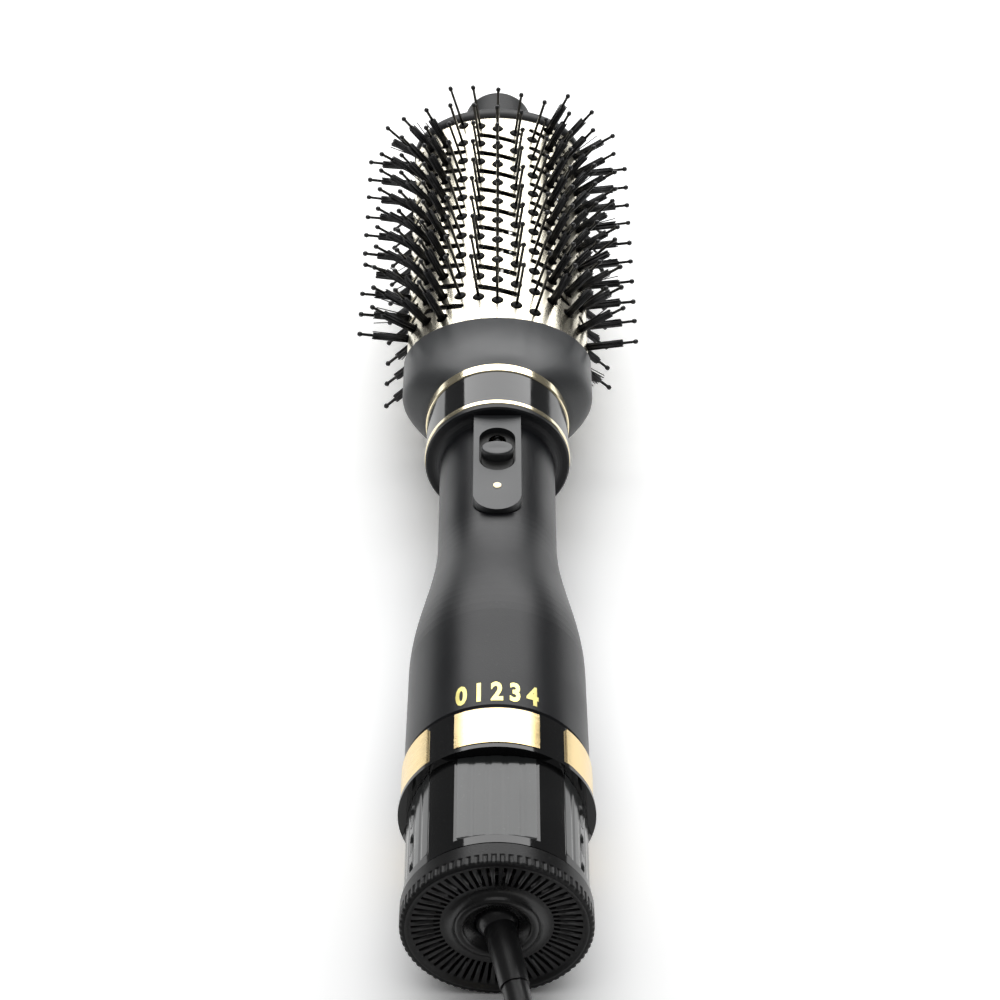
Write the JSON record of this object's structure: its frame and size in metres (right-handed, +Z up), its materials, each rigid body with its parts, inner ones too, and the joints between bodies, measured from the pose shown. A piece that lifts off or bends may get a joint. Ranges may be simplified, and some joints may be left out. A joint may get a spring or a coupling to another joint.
{
  "type": "hot air brush",
  "caption": "Hot air brush with an oval slotted metal barrel, ball-tipped bristles, gold-trimmed neck, slim waisted handle, turning selector and swivel cord.",
  "frame": {"origin": "On the table, under the middle of the brush: halfway between its rear face and the end of its cool tip, measured without the cord, at the height of the surface that it lies on.", "axes": "+X right and +Y toward the cool tip, seen from the rear cap; +Z up, out of the switch plate. The brush's own axis rises toward the tip by 2.4 degrees from +Y, because the brush lies on its rear cap and its first row of pins."},
  "size_m": [0.1256, 0.5178, 0.0749],
  "materials": {
    "rear_cap": "matte black moulded ABS",
    "intake_filter": "woven steel mesh",
    "swivel_retainer": "black nylon",
    "motor_housing": "dark grey heat-proof nylon",
    "motor": "plated steel can",
    "motor_mount": "dark grey nylon",
    "rotor_shaft": "ground steel",
    "fan_impeller": "natural white nylon",
    "selector_dial": "gloss piano-black ABS",
    "dial_inlays": "gold-plated, satin",
    "detent_ball": "polished steel",
    "detent_spring": "spring steel",
    "selector_switch": "grey switch body",
    "handle_top_shell": "soft-touch charcoal coating",
    "handle_bottom_shell": "soft-touch charcoal coating",
    "shell_screws": "zinc-plated steel",
    "circuit_board": "green solder mask",
    "ion_generator": "potted black block",
    "heater_sleeve": "mica sheet",
    "heater_frame": "mica board",
    "heater_coil": "nichrome wire",
    "thermostat": "white ceramic body",
    "thermal_fuse": "plated fuse case",
    "switch_plate": "satin mid-grey moulding",
    "indicator_lens": "warm clear lens",
    "release_slider": "black moulding",
    "release_spring": "spring wire",
    "neck_core": "heat-proof nylon",
    "lower_trim_ring": "polished pale gold plate",
    "neck_band": "piano black",
    "upper_trim_ring": "polished pale gold plate",
    "head_spigot": "heat-proof nylon",
    "head_collar": "matte dark grey nylon",
    "barrel_sleeve": "polished champagne-gold plate",
    "strip_frame": "heat-proof nylon",
    "bristle_strips": "black nylon",
    "end_cap": "matte dark grey nylon",
    "cool_tip": "matte dark grey nylon",
    "strain_relief": "black moulded PVC",
    "cord_tube": "black PVC sheath",
    "cord_coil": "black PVC sheath",
    "cord_tail": "black PVC sheath",
    "plug_body": "black moulded plug",
    "plug_blades": "plated brass"
  },
  "bodies": {
    "handle": {"rear_cap": "rear_cap", "intake_filter": "intake_filter", "swivel_retainer": "swivel_retainer", "motor_housing": "motor_housing", "motor": "motor", "motor_mount": "motor_mount", "detent_ball": "detent_ball", "detent_spring": "detent_spring", "selector_switch": "selector_switch", "handle_top_shell": "handle_top_shell", "handle_bottom_shell": "handle_bottom_shell", "shell_screws": "shell_screws", "circuit_board": "circuit_board", "ion_generator": "ion_generator", "heater_sleeve": "heater_sleeve", "heater_frame": "heater_frame", "heater_coil": "heater_coil", "thermostat": "thermostat", "thermal_fuse": "thermal_fuse", "switch_plate": "switch_plate", "indicator_lens": "indicator_lens", "release_spring": "release_spring", "neck_core": "neck_core", "lower_trim_ring": "lower_trim_ring", "neck_band": "neck_band", "upper_trim_ring": "upper_trim_ring", "cord_tube": "cord_tube", "cord_coil": "cord_coil", "cord_tail": "cord_tail", "plug_body": "plug_body", "plug_blades": "plug_blades"},
    "selector": {"selector_dial": "selector_dial", "dial_inlays": "dial_inlays"},
    "release": {"release_slider": "release_slider"},
    "fan": {"rotor_shaft": "rotor_shaft", "fan_impeller": "fan_impeller"},
    "cord_swivel": {"strain_relief": "strain_relief"},
    "head": {"head_spigot": "head_spigot", "head_collar": "head_collar", "barrel_sleeve": "barrel_sleeve", "strip_frame": "strip_frame", "bristle_strips": "bristle_strips", "end_cap": "end_cap", "cool_tip": "cool_tip"}
  },
  "joints": [
    {"name": "selector_turn", "type": "hinge", "parent": "handle", "child": "selector", "pos_m": [0, -0.16477, 0.0262], "axis": [0, 0.9991, 0.0415], "range_deg": [-23, 23]},
    {"name": "release_slide", "type": "slide", "parent": "handle", "child": "release", "axis": [0, 0.9991, 0.0415], "range_m": [0, 0.005], "stiffness_N_per_m": 300, "springref_m": -0.002, "deforming": ["release_spring"]},
    {"name": "fan_spin", "type": "hinge", "parent": "handle", "child": "fan", "pos_m": [0, -0.16777, 0.02607], "axis": [0, 0.9991, 0.0415], "continuous": true},
    {"name": "cord_swivel_turn", "type": "hinge", "parent": "handle", "child": "cord_swivel", "pos_m": [0, -0.19015, 0.02514], "axis": [0.2059, -0.9686, -0.1392], "continuous": true},
    {"name": "head_pull", "type": "slide", "parent": "handle", "child": "head", "axis": [0, 0.9991, 0.0415], "range_m": [0, 0.035]}
  ]
}
